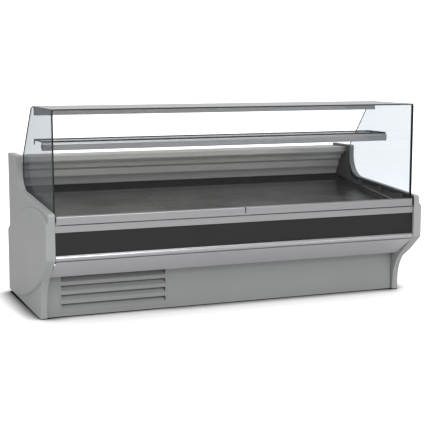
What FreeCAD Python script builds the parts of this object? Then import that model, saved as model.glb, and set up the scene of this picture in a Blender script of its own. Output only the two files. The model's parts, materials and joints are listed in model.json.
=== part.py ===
"""Refrigerated serve-over deli case, built from separate sub-parts, in millimetres.

Frame: origin at the middle of the footprint on the floor, +X along the length, +Y towards the
server's side, +Z up.  Every depth below is measured back from the front plane of the end panels,
and back(depth) turns it into a Y value.
"""
import FreeCAD, Part
import math
import os

Vec = FreeCAD.Vector

# ---- driving dimensions ---------------------------------------------------------------------
LENGTH = 2500.0            # over the bosses of the two end panels
DEPTH = 1150.0             # front plane to rear plane of the end panels
HEIGHT = 1271.0            # floor to the top of the top glass
HALF = LENGTH / 2
BOSS_PROUD = 13.0          # oval boss beyond the end panel's flat face
END_INNER = 1195.0         # inner face of an end panel
END_OUTER = HALF - BOSS_PROUD
FLOOR_GAP = 5.0            # under the end panels
GAP = 0.5                  # clearance between neighbouring pieces
FRONT_CHAMFER_Z = 400.0    # end panel's front face runs upwards from here
FRONT_TOP_Z = 672.6
SLOPE = 0.0647              # rise of the end panel's upper edge per unit of depth
FOOT_DEPTH = 250.0         # front of the end panel's foot
FOOT_RADIUS = 277.0        # concave sweep above the foot
CHAMFER_DEPTH = 150.0
CHAMFER_Z = 275.0
RISER_DEPTH = 895.0        # front of the rear riser
RISER_TOP_Z = 941.0
RISER_RADIUS = 150.0
BOSS_CENTRE = (680.0, 337.6)
BOSS_RADII = (776.0, 267.0)
BOSS_TILT = -15.4

GLASS = 8.0                # toughened glass thickness
GLASS_DEPTH = 33.0         # front face of the front glass
TOP_GLASS_END = 563.0      # rear edge of the top glass
SIDE_GLASS_X = 1185.0      # inner face of a side glass
GLASS_BACK_TOP = 604.0     # rear edge of a side glass at the top
GLASS_BACK_LOW = 885.0     # rear edge of a side glass where it meets the riser
HOLDER_Z = (606.0, 653.0)  # hinged glass holder profile
HINGE = (18.0, 611.0)      # depth and height of the front glass hinge line
PIN_R = 4.0
PIN_CLEARANCE = 0.05
HOLDER_END = 1184.0
STRIP_Z = (561.0, 600.0)
INFILL_Z = (428.0, 561.0)
BUMPER_Z = (389.0, 428.0)
APRON_FOOT = (192.0, 266.0)
BASE_DEPTH = 272.0         # front face of the lower front panel
BASE_Z = (4.0, 262.0)

SHELF_Z = 1067.0
SHELF_DEPTH = (358.0, 582.0)
SHELF_HALF = 1181.0
SHELF_RAIL_Z = (1010.0, 1058.0)

DECK_FRONT = (104.0, 571.0)    # depth and height of the deck's front edge
DECK_BACK = (944.0, 684.0)
PAN_COUNT = 3
PAN_GAP = 4.0
TUB_FLOOR_Z = 500.0            # inside of the liner's floor
TUB_RIM_Z = (596.0, 718.0)     # tub rim at the front and at the back
TUB_DEPTH = (100.0, 1090.0)    # inside of the liner, front to back
TUB_OUTSIDE = (56.0, 1141.5)   # outside of the foamed body, front to back
FOAM = 50.0
SHEET = 1.5
LINER_HALF = 1184.0

WORKTOP_Z = 925.0
WORKTOP_DEPTH = (940.0, 1142.0)
REAR_SKIN = 1143.0             # front face of the rear sheet panel
REAR_LOW = 20.0
TUB_BOTTOM_Z = TUB_FLOOR_Z - SHEET - FOAM - SHEET

GRILLE_X = (-1110.0, -428.0)
GRILLE_Z = (26.0, 254.0)
SLOT_COUNT = 4
RESERVE_X = (-400.0, 1190.0)
RESERVE_Z = (80.0, 440.0)      # stands on the base frame
RESERVE_DEPTH = (600.0, 1096.0)
DOOR_COUNT = 2
DOOR_T = 38.0
DOOR_FACE = 1105.0             # inner face of a closed door leaf
DOOR_Z = (100.0, 432.0)
DOOR_AXIS_DEPTH = DOOR_FACE + DOOR_T / 2
FAN_X = (-420.0, 420.0)        # evaporator fans
FAN_PLATE = 600.0
FAN_Z = 558.0
FAN_R = 50.0
DRAIN = (-500.0, 560.0)
DRAIN_R = 16.0
COMPRESSOR = (-640.0, 780.0, 83.5)
CONDENSER_X = (-1085.0, -740.0)
CONDENSER_DEPTH = (318.0, 388.0)
CONDENSER_Z = (83.5, 392.0)
SHROUD_BACK = 428.0
SHROUD_T = 2.0
CONDENSER_FAN_Z = 238.0
CONDENSER_FAN_R = 130.0
CONTROL_X = (-1010.0, -770.0)
CONTROL_Z = (772.0, 832.0)
KEY_X = (-902.0, -884.0)
KEY_Z = 802.0
KEY_R = 4.5
ROCKER_X = (-842.0, -806.0)
ROCKER_AXIS = 1141.0
TRUNNION_R = 2.0
FASCIA_T = 2.5
GLAND = (-1120.0, 1124.0, 130.0)
FOOT_X = (-1050.0, 1050.0)
FOOT_DEPTHS = (340.0, 1070.0)
STEM_R = 6.0
THREAD_CLEARANCE = 0.05
FOOT_BOSS_R = 11.0
TUBE = 40.0                    # base frame's box section
TUBE_WALL = 2.0
FRAME_Z = 40.0
RAIL_HALF = 1194.0
CROSS_RAIL_X = (-1168.0, -400.0, 400.0, 1168.0)
POSTS = ((-1168.0, 340.0), (-400.0, 340.0), (1168.0, 340.0), (-1168.0, 1070.0))


# ---- helpers --------------------------------------------------------------------------------
def back(depth):
    """Y value of a depth behind the front plane."""
    return depth - DEPTH / 2


def at(x, point):
    """Vector of a (depth, height) point in the plane at x."""
    return Vec(x, back(point[0]), point[1])


def save(shape, name):
    """Write one node's STEP file."""
    shape.exportStep("parts/" + name + ".step")


def box(x, depth, z):
    """Box from three (low, high) pairs: length, depth and height."""
    return Part.makeBox(x[1] - x[0], depth[1] - depth[0], z[1] - z[0], Vec(x[0], back(depth[0]), z[0]))


def prism(x0, x1, start, *steps):
    """Side outline carried from x0 to x1.  A step is a point, or a (through, end) pair for an arc."""
    edges = []
    here = start
    for step in steps + (start,):
        if isinstance(step[0], tuple):
            edges.append(Part.Arc(at(x0, here), at(x0, step[0]), at(x0, step[1])).toShape())
            here = step[1]
        elif step != here:
            edges.append(Part.LineSegment(at(x0, here), at(x0, step)).toShape())
            here = step
    return Part.Face(Part.Wire(edges)).extrude(Vec(x1 - x0, 0, 0))


def sheet_strip(x0, x1, thickness, *points):
    """Folded sheet of constant thickness: the points are its outer line, thickened to the left."""
    normals = []
    for here, there in zip(points, points[1:]):
        run = math.hypot(there[0] - here[0], there[1] - here[1])
        normals.append(((here[1] - there[1]) / run, (there[0] - here[0]) / run))
    inner = []
    for index, point in enumerate(points):
        before = normals[max(index - 1, 0)]
        after = normals[min(index, len(normals) - 1)]
        scale = thickness / (1 + before[0] * after[0] + before[1] * after[1])
        inner.append((point[0] + (before[0] + after[0]) * scale, point[1] + (before[1] + after[1]) * scale))
    return prism(x0, x1, *(points + tuple(reversed(inner))))


def rod(x, depth, z, direction, radius, length):
    """Cylinder from a point along a direction."""
    return Part.makeCylinder(radius, length, Vec(x, back(depth), z), direction)


def bent_pipe(points, radius, bend):
    """Round pipe through (x, depth, z) points, with a tangent arc at each corner."""
    corners = [Vec(p[0], back(p[1]), p[2]) for p in points]
    edges = []
    here = corners[0]
    for before, corner, after in zip(corners, corners[1:], corners[2:]):
        way_in = (corner - before).normalize()
        way_out = (after - corner).normalize()
        turn = way_in.getAngle(way_out)
        reach = bend * math.tan(turn / 2)
        start = corner - way_in * reach
        end = corner + way_out * reach
        inward = (way_out - way_in).normalize()
        middle = corner + inward * (bend / math.cos(turn / 2) - bend)
        edges.append(Part.LineSegment(here, start).toShape())
        edges.append(Part.Arc(start, middle, end).toShape())
        here = end
    edges.append(Part.LineSegment(here, corners[-1]).toShape())
    first = (corners[1] - corners[0]).normalize()
    ring = Part.Wire(Part.Circle(corners[0], first, radius).toShape())
    return Part.Wire(edges).makePipeShell([ring], True, False)


def mirrored(shape):
    """The same piece on the other end of the case."""
    return shape.mirror(Vec(0, 0, 0), Vec(1, 0, 0))


def deck_z(depth):
    """Height of the sloping deck at a depth."""
    rise = (DECK_BACK[1] - DECK_FRONT[1]) / (DECK_BACK[0] - DECK_FRONT[0])
    return DECK_FRONT[1] + rise * (depth - DECK_FRONT[0])


def fuse_all(shapes):
    """One shape from a list of touching ones."""
    return shapes[0].multiFuse(shapes[1:]).removeSplitter()


def door_span(index):
    """Low and high X of one reserve door."""
    width = (RESERVE_X[1] - RESERVE_X[0]) / DOOR_COUNT
    return (RESERVE_X[0] + index * width + 1.0, RESERVE_X[0] + (index + 1) * width - 1.0)


def door_axis_x(index):
    """X of a reserve door's hinge line: the centre of its rounded edge."""
    return door_span(index)[0] + DOOR_T / 2


# ---- ends -----------------------------------------------------------------------------------
def rounded_prism(x0, x1, corners):
    """Side outline of (depth, height, radius) corners, each rounded by a tangent arc, from x0 to x1."""
    edges = []
    points = [at(x0, corner) for corner in corners]
    ends = []
    for index, corner in enumerate(points):
        way_in = (corner - points[index - 1]).normalize()
        way_out = (points[(index + 1) % len(points)] - corner).normalize()
        radius = corners[index][2]
        turn = way_in.getAngle(way_out)
        start = corner - way_in * radius * math.tan(turn / 2)
        end = corner + way_out * radius * math.tan(turn / 2)
        if radius:
            middle = corner + (way_out - way_in).normalize() * (radius / math.cos(turn / 2) - radius)
            edges.append(Part.Arc(start, middle, end).toShape())
        ends.append((start, end))
    for index, (start, _) in enumerate(ends):
        edges.append(Part.LineSegment(ends[index - 1][1], start).toShape())
    return Part.Face(Part.Wire(Part.__sortEdges__(edges))).extrude(Vec(x1 - x0, 0, 0))


def end_outline(x0, x1):
    """Side outline of an end panel: foot sweep, chamfer, upright front, slope and rear riser."""
    chamfer_slope = (FRONT_CHAMFER_Z - CHAMFER_Z) / CHAMFER_DEPTH
    return rounded_prism(x0, x1, (
        (FOOT_DEPTH, FLOOR_GAP, 0.0),
        (FOOT_DEPTH, FRONT_CHAMFER_Z - chamfer_slope * FOOT_DEPTH, FOOT_RADIUS),
        (0.0, FRONT_CHAMFER_Z, 18.0),
        (0.0, FRONT_TOP_Z, 18.0),
        (RISER_DEPTH, FRONT_TOP_Z + SLOPE * RISER_DEPTH, RISER_RADIUS),
        (RISER_DEPTH, RISER_TOP_Z, 12.0),
        (DEPTH, RISER_TOP_Z, 0.0),
        (DEPTH, FLOOR_GAP, 0.0),
    ))


def rounded_rim(panel, radius):
    """Round the outer edge of an end panel from its front foot up and over to the riser's top."""
    rim = []
    for edge in panel.Edges:
        span = edge.BoundBox
        on_outer = abs(span.XMin - END_OUTER) < 0.01 and abs(span.XMax - END_OUTER) < 0.01
        if on_outer and span.YMin < back(DEPTH) - 0.01 and span.ZMax > FLOOR_GAP + 0.01:
            rim.append(edge)
    return panel.makeFillet(radius, rim)


def boss_oval(x0, x1, grow):
    """Tilted oval plate, larger or smaller by grow."""
    oval = Part.Ellipse(Vec(0, 0, 0), BOSS_RADII[0] + grow, BOSS_RADII[1] + grow).toShape()
    face = Part.Face(Part.Wire(oval))
    face.rotate(Vec(0, 0, 0), Vec(0, 0, 1), BOSS_TILT)
    face.rotate(Vec(0, 0, 0), Vec(1, 1, 1), 120)
    face.translate(at(x0, BOSS_CENTRE))
    return face.extrude(Vec(x1 - x0, 0, 0))


def end_panel():
    """Right-hand moulded end: profiled panel with a bevelled oval boss on its outer face."""
    panel = rounded_rim(end_outline(END_INNER, END_OUTER), 9.0)
    boss = boss_oval(END_OUTER - 20.0, HALF, 0.0)
    rim = [edge for edge in boss.Edges if edge.BoundBox.XMin > HALF - 0.01]
    boss = boss.makeChamfer(10.0, rim)
    boss = boss.common(end_outline(END_INNER, HALF))
    return panel.fuse(boss).removeSplitter()


# ---- base -----------------------------------------------------------------------------------
def square_tube(x, depth, z, along):
    """Box-section tube with open ends between (low, high) pairs; along is 0, 1 or 2 for X, depth or Z."""
    spans = [x, depth, z]
    bore = [(low + TUBE_WALL, high - TUBE_WALL) for low, high in spans]
    bore[along] = (spans[along][0] - 1.0, spans[along][1] + 1.0)
    return box(*spans).cut(box(*bore))


def foot_rail(depth):
    """Long rail of the base frame with a threaded boss at each foot."""
    z = (FRAME_Z, FRAME_Z + TUBE)
    rail = square_tube((-RAIL_HALF, RAIL_HALF), (depth - TUBE / 2, depth + TUBE / 2), z, 0)
    bosses = [rod(x, depth, FRAME_Z + 1.0, Vec(0, 0, 1), FOOT_BOSS_R, TUBE - 2.0) for x in FOOT_X]
    rail = fuse_all([rail] + bosses)
    for x in FOOT_X:
        rail = rail.cut(rod(x, depth, FRAME_Z - 1.0, Vec(0, 0, 1), STEM_R + THREAD_CLEARANCE, TUBE + 2.0))
    return rail


def base_frame():
    """Welded box-section frame: two long rails, four cross rails and five posts."""
    pieces = [foot_rail(depth) for depth in FOOT_DEPTHS]
    between = (FOOT_DEPTHS[0] + TUBE / 2, FOOT_DEPTHS[1] - TUBE / 2)
    for x in CROSS_RAIL_X:
        pieces.append(square_tube((x - TUBE / 2, x + TUBE / 2), between, (FRAME_Z, FRAME_Z + TUBE), 1))
    for x, depth in POSTS:
        pieces.append(square_tube((x - TUBE / 2, x + TUBE / 2), (depth - TUBE / 2, depth + TUBE / 2),
                                  (FRAME_Z + TUBE, TUB_BOTTOM_Z - GAP), 2))
    return Part.Compound(pieces)


def levelling_foot(x, depth):
    """Screw foot: round pad, hexagon and stem."""
    pad = rod(x, depth, 0.0, Vec(0, 0, 1), 22.0, 8.0)
    pad = pad.makeChamfer(2.0, [edge for edge in pad.Edges if edge.BoundBox.ZMin > 7.9])
    turns = [math.radians(60 * k) for k in range(7)]
    corners = [Vec(x + 11.0 * math.cos(turn), back(depth) + 11.0 * math.sin(turn), 8.0) for turn in turns]
    hexagon = Part.Face(Part.makePolygon(corners)).extrude(Vec(0, 0, 9.0))
    stem = rod(x, depth, 17.0, Vec(0, 0, 1), STEM_R, 58.0)
    return fuse_all([pad, hexagon, stem])


def lower_front_panel():
    """Recessed kick panel of folded sheet, cut out for the louvre grille."""
    panel = sheet_strip(-1190.0, 1190.0, -SHEET, (BASE_DEPTH + 16.0, BASE_Z[0]), (BASE_DEPTH, BASE_Z[0]),
                        (BASE_DEPTH, BASE_Z[1]), (BASE_DEPTH + 16.0, BASE_Z[1]))
    opening = box((GRILLE_X[0] - GAP, GRILLE_X[1] + GAP), (BASE_DEPTH - 5.0, BASE_DEPTH + 10.0), GRILLE_Z)
    return panel.cut(opening)


def louvre_grille():
    """Pressed louvre panel: a flat plate with slots, each with a blade leaning in behind it."""
    z0 = GRILLE_Z[0] + GAP
    z1 = GRILLE_Z[1] - GAP
    plate = box(GRILLE_X, (BASE_DEPTH, BASE_DEPTH + SHEET), (z0, z1))
    pitch = (z1 - z0) / SLOT_COUNT
    blades = []
    for k in range(SLOT_COUNT):
        top = z1 - 3.0 - k * pitch
        low = top - 0.62 * pitch
        slot = box((GRILLE_X[0] + 8.0, GRILLE_X[1] - 8.0), (BASE_DEPTH - 1.0, BASE_DEPTH + 4.0), (low, top))
        plate = plate.cut(slot)
        blades.append(sheet_strip(GRILLE_X[0] + 8.0, GRILLE_X[1] - 8.0, -SHEET, (BASE_DEPTH, low - 1.0),
                                  (BASE_DEPTH, low + 1.0), (BASE_DEPTH + 26.0, top - 8.0)))
    return fuse_all([plate] + blades)


def apron():
    """Slanted sheet from the bumper back to the lower front panel."""
    return sheet_strip(-1190.0, 1190.0, -SHEET, (APRON_FOOT[0] + 76.0, APRON_FOOT[1] - 1.0), APRON_FOOT,
                       (8.0, BUMPER_Z[0] - GAP), (22.0, BUMPER_Z[0] - GAP))


# ---- front trim -----------------------------------------------------------------------------
def bumper():
    """Rounded aluminium bumper rail, hollow behind its curved face."""
    low, high = BUMPER_Z
    middle = (low + high) / 2
    outer = prism(-1192.0, 1192.0, (16.0, low), ((1.0, middle - 2.0), (14.0, high - GAP)), (21.5, high - GAP),
                  (21.5, low))
    hollow = prism(-1193.0, 1193.0, (18.0, low + 3.0), ((5.0, middle - 2.0), (17.0, high - 4.0)),
                   (22.0, high - 4.0), (22.0, low + 3.0))
    return outer.cut(hollow)


def front_infill():
    """Flat coloured panel between the bumper and the fixed strip."""
    return box((-1192.0, 1192.0), (16.0, 19.0), (INFILL_Z[0], INFILL_Z[1] - GAP))


def lower_strip():
    """Fixed brushed profile under the hinge line, folded back over the sill."""
    return sheet_strip(-1192.0, 1192.0, -2.5, (20.0, STRIP_Z[0]), (10.0, STRIP_Z[0]), (10.0, STRIP_Z[1]),
                       (52.0, STRIP_Z[1]))


def front_sill():
    """Steel parapet channel that carries the strips, the infill and the glass hinges."""
    return sheet_strip(-1192.0, 1192.0, -2.0, (54.0, 398.0), (22.0, 398.0), (22.0, 596.5), (54.0, 596.5))


def glass_holder(side):
    """Hinged aluminium profile that grips one front glass; side is -1 or +1."""
    low, high = HOLDER_Z
    x0, x1 = (3.5, HOLDER_END)
    body = prism(x0, x1, (9.0, low), (9.0, high - 5.0), ((10.5, high - 1.5), (14.0, high)), (50.0, high),
                 (50.0, low))
    slot = box((x0 - 1, x1 + 1), (GLASS_DEPTH - 0.4, GLASS_DEPTH + GLASS + 0.4), (low + 12.0, high + 1))
    hollow = box((x0 + 26.0, x1 - 26.0), (13.0, 28.0), (low + 14.0, high - 6.0))
    body = body.cut(slot).cut(hollow)
    for x, direction in ((x0, 1), (x1, -1)):
        body = body.cut(rod(x, HINGE[0], HINGE[1], Vec(direction, 0, 0), PIN_R + PIN_CLEARANCE, 24.0))
    return body if side > 0 else mirrored(body)


def front_glass(side):
    """One half of the upright front glass."""
    glass = box((1.0, SIDE_GLASS_X + GLASS), (GLASS_DEPTH, GLASS_DEPTH + GLASS),
                (HOLDER_Z[0] + 13.0, HEIGHT - GLASS - 1.5))
    cut = box((1186.0, 1194.0), (0.0, 60.0), (600.0, 676.0))
    glass = glass.cut(cut)
    return glass if side > 0 else mirrored(glass)


def hinge_brackets():
    """Thin plates that carry the glass hinge pins: one at each end and one in the middle."""
    plates = []
    for x in (-1188.0, -1.5, 1185.0):
        foot = STRIP_Z[1] + GAP
        plate = prism(x, x + 3.0, (12.0, foot), (12.0, 622.0), (30.0, 622.0), (46.0, foot))
        plates.append(plate.cut(rod(x - 1, HINGE[0], HINGE[1], Vec(1, 0, 0), PIN_R, 5.0)))
    for index in range(DOOR_COUNT):
        x = door_axis_x(index)
        for z in (DOOR_Z[0] - 4.0, DOOR_Z[1] + 1.0):
            plate = box((x - 14.0, x + 14.0), (RESERVE_DEPTH[1], DOOR_AXIS_DEPTH + 12.0), (z, z + 3.0))
            plates.append(plate.cut(rod(x, DOOR_AXIS_DEPTH, z - 1.0, Vec(0, 0, 1), PIN_R, 5.0)))
    return Part.Compound(plates)


def hinge_pins():
    """Steel pins of the two front glasses and of the reserve doors, all held in fixed brackets."""
    pins = []
    for x, length in ((-1188.0, 24.0), (-21.0, 42.0), (1164.0, 24.0)):
        pins.append(rod(x, HINGE[0], HINGE[1], Vec(1, 0, 0), PIN_R, length))
    for index in range(DOOR_COUNT):
        x = door_axis_x(index)
        pins.append(rod(x, DOOR_AXIS_DEPTH, DOOR_Z[0] - 4.0, Vec(0, 0, 1), PIN_R, 24.0))
        pins.append(rod(x, DOOR_AXIS_DEPTH, DOOR_Z[1] - 20.0, Vec(0, 0, 1), PIN_R, 24.0))
    return Part.Compound(pins)


# ---- glass superstructure -------------------------------------------------------------------
def side_glass():
    """Right-hand side glass, whose foot stands behind the end panel's sloping edge."""
    top = HEIGHT - GLASS - GAP
    return prism(SIDE_GLASS_X, SIDE_GLASS_X + GLASS, (GLASS_DEPTH + GLASS + 1.5, 655.0),
                 (GLASS_DEPTH + GLASS + 1.5, top), (GLASS_BACK_TOP, top), (GLASS_BACK_LOW, RISER_TOP_Z - 4.0),
                 (GLASS_BACK_LOW, 790.0), (840.0, 728.0), (750.0, 695.0), (60.0, 655.0))


def top_glass():
    """Flat top glass lying on the side glasses."""
    end = SIDE_GLASS_X + GLASS
    return box((-end, end), (GLASS_DEPTH, TOP_GLASS_END), (HEIGHT - GLASS, HEIGHT))


def glass_clamps():
    """Small metal clamps: three under each side glass, and the shelf's stand-offs and rear angles."""
    pieces = []
    for depth, foot in ((150.0, 660.0), (430.0, 676.0), (700.0, 692.0)):
        clamp = box((1176.0, END_INNER), (depth - 20.0, depth + 20.0), (foot - 14.0, foot + 10.0))
        slot = prism(SIDE_GLASS_X - GAP, SIDE_GLASS_X + GLASS + GAP, (depth - 21.0, foot - 5.0),
                     (depth + 21.0, foot - 3.0), (depth + 21.0, foot + 11.0), (depth - 21.0, foot + 11.0))
        pieces.append(clamp.cut(slot))
    pieces.append(rod(SHELF_HALF - GAP, SHELF_DEPTH[0] + 2.0, 1034.0, Vec(1, 0, 0), 9.0, 4.5))
    plate = box((SIDE_GLASS_X - 3.0, SIDE_GLASS_X), (548.0, 574.0), (1034.0, SHELF_Z - GLASS - GAP))
    ledge = box((SIDE_GLASS_X - 34.0, SIDE_GLASS_X), (548.0, 574.0),
                (SHELF_Z - GLASS - 3.5, SHELF_Z - GLASS - GAP))
    pieces.append(plate.fuse(ledge).removeSplitter())
    return Part.Compound(pieces + [mirrored(piece) for piece in pieces])


def top_rail():
    """Light housing under the rear edge of the top glass: a channel open below."""
    end = SIDE_GLASS_X - 1.0
    low, high = (1214.0, HEIGHT - GLASS - GAP)
    body = box((-end, end), (514.0, 560.0), (low, high))
    return body.cut(box((-end + 3.0, end - 3.0), (517.0, 557.0), (low - 1.0, high - 3.0)))


def light_tube():
    """Tube lamp with its two end holders, hung from the housing's ceiling."""
    reach = 1140.0
    lamp = rod(-reach, 537.0, 1236.0, Vec(1, 0, 0), 9.0, 2 * reach)
    holders = []
    for x in (-reach - 14.0, reach - 4.0):
        holders.append(box((x, x + 18.0), (524.0, 550.0), (1224.0, HEIGHT - GLASS - 3.0 - GAP)))
    return fuse_all([lamp] + holders)


def shelf_glass():
    """Glass display shelf."""
    return box((-SHELF_HALF, SHELF_HALF), SHELF_DEPTH, (SHELF_Z - GLASS, SHELF_Z))


def shelf_rail():
    """Hollow rounded rail under the front edge of the shelf glass."""
    low, high = SHELF_RAIL_Z
    front = SHELF_DEPTH[0] - 12.0
    rear = front + 30.0
    outer = prism(-SHELF_HALF + GAP, SHELF_HALF - GAP, (front + 5.0, low),
                  ((front + 1.4, low + 1.6), (front, low + 6.0)), (front, high - 14.0),
                  ((front + 4.0, high - 4.0), (front + 14.0, high)), (rear, high), (rear, low))
    hollow = prism(-SHELF_HALF - 1.0, SHELF_HALF + 1.0, (front + 7.0, low + 2.0), (front + 2.0, low + 7.0),
                   (front + 2.0, high - 14.0), (front + 14.0, high - 2.0), (rear - 2.0, high - 2.0),
                   (rear - 2.0, low + 2.0))
    caps = [box((x, x + 3.0), (front + 8.0, rear - 1.0), (low + 1.0, high - 3.0))
            for x in (-SHELF_HALF + GAP, SHELF_HALF - GAP - 3.0)]
    return fuse_all([outer.cut(hollow)] + caps)


# ---- refrigerated tub -----------------------------------------------------------------------
def tub_block(half_length, grow):
    """Solid block of the tub's inside, grown outwards on the floor, front and back."""
    front = TUB_DEPTH[0] - grow
    rear = TUB_DEPTH[1] + grow
    floor = TUB_FLOOR_Z - grow
    return prism(-half_length, half_length, (front, floor), (front, TUB_RIM_Z[0]), (rear, TUB_RIM_Z[1]),
                 (rear, floor))


def tub_hollow(half_length, grow):
    """The same block run up through the rim, to cut with."""
    tall = TUB_RIM_Z[1] + 60.0
    return box((-half_length, half_length), (TUB_DEPTH[0] - grow, TUB_DEPTH[1] + grow),
               (TUB_FLOOR_Z - grow, tall))


def drain_hole(low, high):
    """Cutter for the drain through the tub's floor."""
    return rod(DRAIN[0], DRAIN[1], low, Vec(0, 0, 1), DRAIN_R, high - low)


def tub_body():
    """Foamed sandwich body of the tub with its outer sheet."""
    front, rear = TUB_OUTSIDE
    outer = prism(-END_INNER + 1.0, END_INNER - 1.0, (front, TUB_BOTTOM_Z), (front, TUB_RIM_Z[0]),
                  (rear, TUB_RIM_Z[1]), (rear, TUB_BOTTOM_Z))
    body = outer.cut(tub_hollow(LINER_HALF + SHEET + GAP, SHEET))
    return body.cut(drain_hole(TUB_BOTTOM_Z - 1.0, TUB_FLOOR_Z + 1.0))


def tub_liner():
    """Stainless inner tub."""
    liner = tub_block(LINER_HALF + SHEET, SHEET).cut(tub_hollow(LINER_HALF, 0.0))
    return liner.cut(drain_hole(TUB_FLOOR_Z - 5.0, TUB_FLOOR_Z + 5.0))


def drain_pipe():
    """Waste pipe with a flange on the tub's floor."""
    low = 120.0
    flange = rod(DRAIN[0], DRAIN[1], TUB_FLOOR_Z, Vec(0, 0, 1), DRAIN_R + 14.0, 2.0)
    stem = rod(DRAIN[0], DRAIN[1], low, Vec(0, 0, 1), DRAIN_R - 0.3, TUB_FLOOR_Z - low)
    bore = rod(DRAIN[0], DRAIN[1], low - 1.0, Vec(0, 0, 1), DRAIN_R - 3.0, TUB_FLOOR_Z)
    return flange.fuse(stem).cut(bore).removeSplitter()


def pan_span(index):
    """Low and high X of one deck pan."""
    width = 2 * (LINER_HALF - 12.0) / PAN_COUNT
    low = -LINER_HALF + 12.0 + index * width
    return (low + PAN_GAP / 2, low + width - PAN_GAP / 2)


def deck_pan(index):
    """Lift-out stainless pan: sloping sheet with a turned-down edge at the front and the back."""
    x0, x1 = pan_span(index)
    return sheet_strip(x0, x1, -SHEET, (DECK_FRONT[0], DECK_FRONT[1] - 14.0), DECK_FRONT, DECK_BACK,
                       (DECK_BACK[0], DECK_BACK[1] - 14.0))


def deck_bearers():
    """Bars under the joints of the pans, each on two legs that stand on the liner."""
    bars = []
    joints = [pan_span(index)[0] - PAN_GAP / 2 for index in range(1, PAN_COUNT)]
    for x in [-LINER_HALF + 14.0] + joints + [LINER_HALF - 14.0]:
        ends = (DECK_FRONT[0] + 6.0, DECK_BACK[0] - 6.0)
        tops = [deck_z(depth) - SHEET - 2 * GAP for depth in ends]
        bar = prism(x - 10.0, x + 10.0, (ends[0], tops[0] - 14.0), (ends[0], tops[0]), (ends[1], tops[1]),
                    (ends[1], tops[1] - 14.0))
        legs = [box((x - 10.0, x + 10.0), (depth - 10.0, depth + 10.0), (TUB_FLOOR_Z, deck_z(depth) - 8.0))
                for depth in (200.0, 900.0)]
        bars.append(fuse_all([bar] + legs))
    return Part.Compound(bars)


def back_wall_panel():
    """Stepped and folded face of the rear wall, from under the worktop down to the tub's rim."""
    return sheet_strip(-END_INNER + 1.0, END_INNER - 1.0, SHEET, (1092.0, 720.0), (1090.0, 736.0),
                       (1078.0, 762.0), (1060.0, 778.0), (1050.0, 822.0), (1040.0, 832.0), (1024.0, 838.0),
                       (1020.0, 864.0), (984.0, 872.0), (972.0, 888.0), (972.0, 921.0), (1100.0, 921.0))


def worktop():
    """Server's stainless worktop with turned-down lips."""
    return sheet_strip(-END_INNER + 1.0, END_INNER - 1.0, -SHEET, (962.0, 893.0), (WORKTOP_DEPTH[0], 893.0),
                       (WORKTOP_DEPTH[0], WORKTOP_Z), (WORKTOP_DEPTH[1] + 7.0, WORKTOP_Z),
                       (WORKTOP_DEPTH[1] + 7.0, 894.0))


# ---- cold side ------------------------------------------------------------------------------
def fin_pack(x, depth, z, fins, rows, columns):
    """Finned coil: thin plates along X with tubes through them; x, depth and z are (low, high)."""
    step = (x[1] - x[0] - 1.0) / (fins - 1)
    plates = [box((x[0] + k * step, x[0] + k * step + 1.0), depth, z) for k in range(fins)]
    tubes = []
    for row in range(rows):
        for column in range(columns):
            y = depth[0] + (row + 0.5) * (depth[1] - depth[0]) / rows
            height = z[0] + (column + 0.5) * (z[1] - z[0]) / columns
            tubes.append(rod(x[0] - 8.0, y, height, Vec(1, 0, 0), 5.0, x[1] - x[0] + 16.0))
    return fuse_all([tubes[0]] + plates + tubes[1:])


def fan_rotor(x, depth, z, radius, hub, blades, bore):
    """Axial fan on the Y axis: a bored hub with leaning blades."""
    width = 18.0
    centre = Vec(x, back(depth), z)
    along = Vec(0, 1, 0)
    hub_body = Part.makeCylinder(hub, width, centre, along)
    parts = [hub_body]
    limit = Part.makeCylinder(radius, width, centre, along)
    for k in range(blades):
        blade = Part.makeBox(radius * 0.62, 1.6, radius)
        blade.translate(Vec(-radius * 0.31, -0.8, hub * 0.7))
        blade.rotate(Vec(0, 0, 0), Vec(0, 0, 1), 28)
        blade.rotate(Vec(0, 0, 0), Vec(0, 1, 0), 360.0 * k / blades)
        blade.translate(centre + along * (width / 2))
        parts.append(blade.common(limit))
    rotor = fuse_all(parts)
    return rotor.cut(Part.makeCylinder(bore, width + 2.0, centre - along, along))


def motor_on_arms(x, depth, z, radius, length, shaft, reach):
    """Small fan motor: body, shaft towards +Y and two arms across to a mounting ring."""
    body = rod(x, depth, z, Vec(0, 1, 0), radius, length)
    spindle = rod(x, depth + length, z, Vec(0, 1, 0), shaft, 24.0)
    arms = [box((x - reach, x + reach), (depth + length - 8.0, depth + length), (z - 5.0, z + 5.0))]
    for side in (-1, 1):
        edge = x + side * (reach - 4.0)
        arms.append(box((edge - 4.0, edge + 4.0), (depth + length - 8.0, depth + length + 14.0),
                        (z - 5.0, z + 5.0)))
    return fuse_all([body, spindle] + arms)


def evaporator_fan_motors():
    """Partition in front of the coil with a round opening and a motor for each fan."""
    plate = box((-LINER_HALF + 3.0, LINER_HALF - 3.0), (FAN_PLATE, FAN_PLATE + 2.0), (TUB_FLOOR_Z, 616.0))
    motors = []
    for x in FAN_X:
        plate = plate.cut(rod(x, FAN_PLATE - 1.0, FAN_Z, Vec(0, 1, 0), FAN_R + 4.0, 4.0))
        motors.append(motor_on_arms(x, FAN_PLATE - 52.0, FAN_Z, 24.0, 38.0, 3.0, FAN_R + 16.0))
    return fuse_all([plate] + motors)


def evaporator_fan(index):
    """One of the two air fans under the deck."""
    return fan_rotor(FAN_X[index], FAN_PLATE - 10.0, FAN_Z, FAN_R, 16.0, 5, 3.0 + PIN_CLEARANCE)


def evaporator_coil():
    """Finned coil that stands on the liner behind the fans."""
    return fin_pack((-700.0, 700.0), (650.0, 800.0), (TUB_FLOOR_Z, 604.0), 41, 3, 3)


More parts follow.
